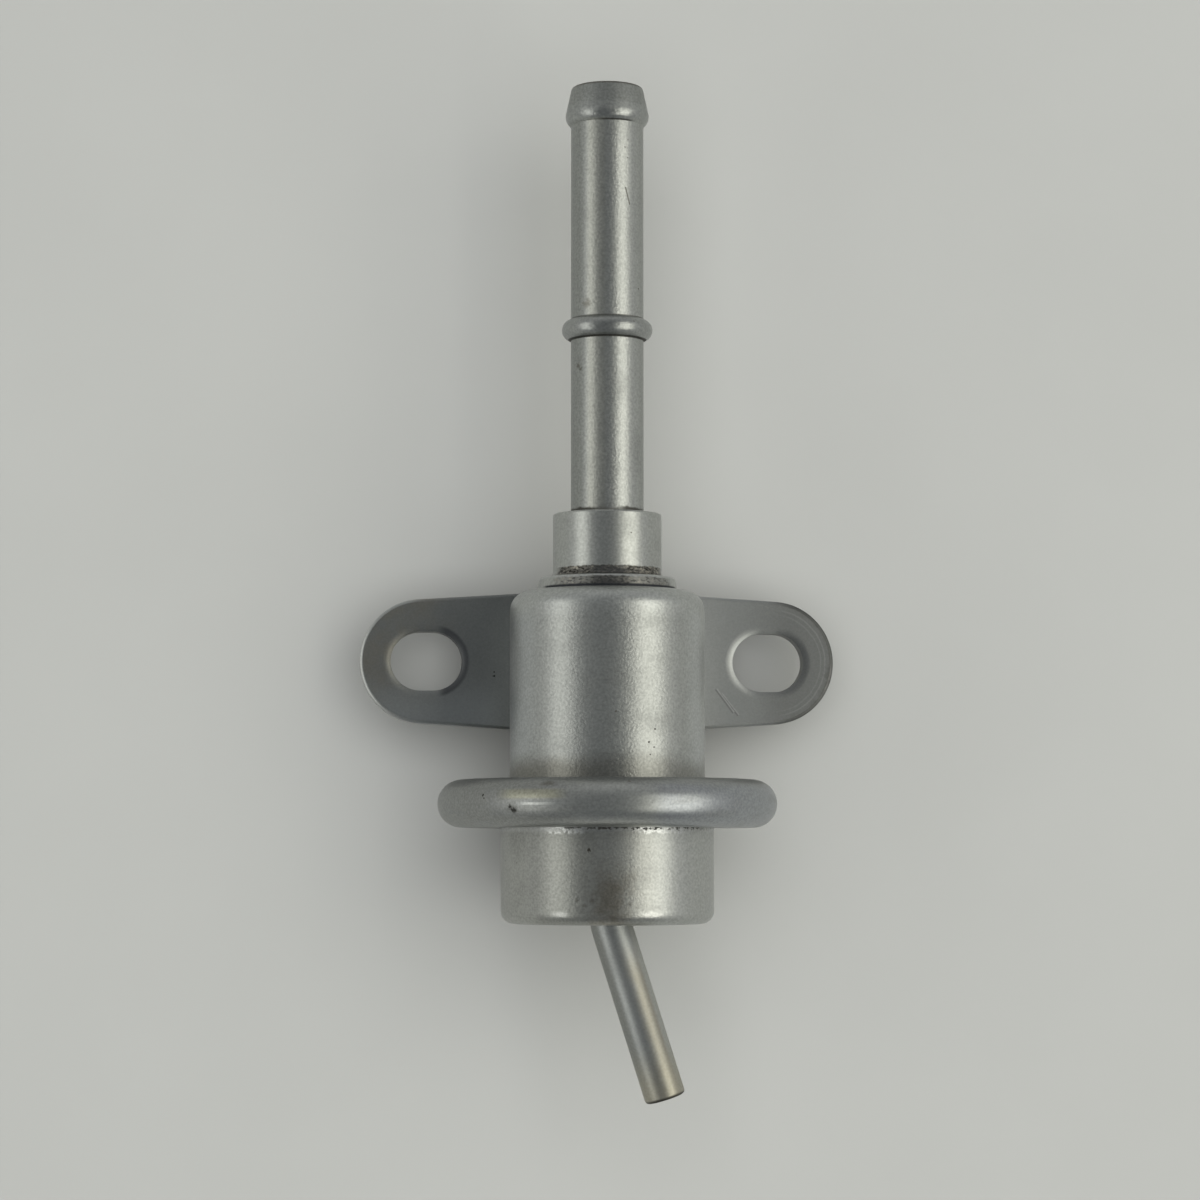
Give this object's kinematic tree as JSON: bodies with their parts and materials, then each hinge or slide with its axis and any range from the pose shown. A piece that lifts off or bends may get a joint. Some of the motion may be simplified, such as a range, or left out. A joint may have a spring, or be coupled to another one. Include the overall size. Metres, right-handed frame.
{
  "type": "fuel pressure regulator",
  "caption": "Diaphragm fuel pressure regulator in a crimped steel case, with a beaded return pipe, a bent vacuum pipe and a slotted two-bolt bracket with an O-ring inlet.",
  "frame": {"origin": "middle of the bracket's mounting face, on the inlet's axis and midway between the two bolt slots", "axes": "+Y along the regulator's axis towards the return pipe's mouth, +Z from the mounting face towards the case, +X along the bracket"},
  "size_m": [0.0534, 0.1117, 0.037],
  "materials": {
    "case_steel": "satin, blasted and zinc plated",
    "boss_steel": "satin zinc plate, burnt flux at the brazed joint",
    "pipe_steel": "satin zinc plate",
    "bracket_steel": "smooth zinc plate, scuffed",
    "vacuum_pipe_steel": "half gloss, yellowish passivation",
    "seal_rubber": "smooth",
    "diaphragm_rubber": "fabric backed",
    "pressed_steel": "pressed, bright zinc",
    "spring_steel": "drawn wire",
    "valve_steel": "turned stainless",
    "ball_steel": "polished",
    "seat_brass": "turned"
  },
  "bodies": {
    "housing": {"upper_case": "case_steel", "lower_case": "case_steel", "pipe_boss": "boss_steel", "return_pipe": "pipe_steel", "mounting_bracket": "bracket_steel", "vacuum_pipe": "vacuum_pipe_steel", "inlet_union": "boss_steel", "inlet_o_ring": "seal_rubber", "valve_seat": "seat_brass", "diaphragm": "diaphragm_rubber", "spring_seat": "pressed_steel", "main_spring": "spring_steel"},
    "valve": {"diaphragm_plate": "pressed_steel", "spring_cup": "pressed_steel", "valve_holder": "valve_steel", "valve_ball": "ball_steel", "ball_retainer": "valve_steel", "ball_spring": "spring_steel"}
  },
  "joints": [
    {"name": "valve_lift", "type": "slide", "parent": "housing", "child": "valve", "axis": [0, -1, 0], "range_m": [0, 0.0008], "stiffness_N_per_m": 9100, "deforming": ["main_spring", "diaphragm"]}
  ]
}
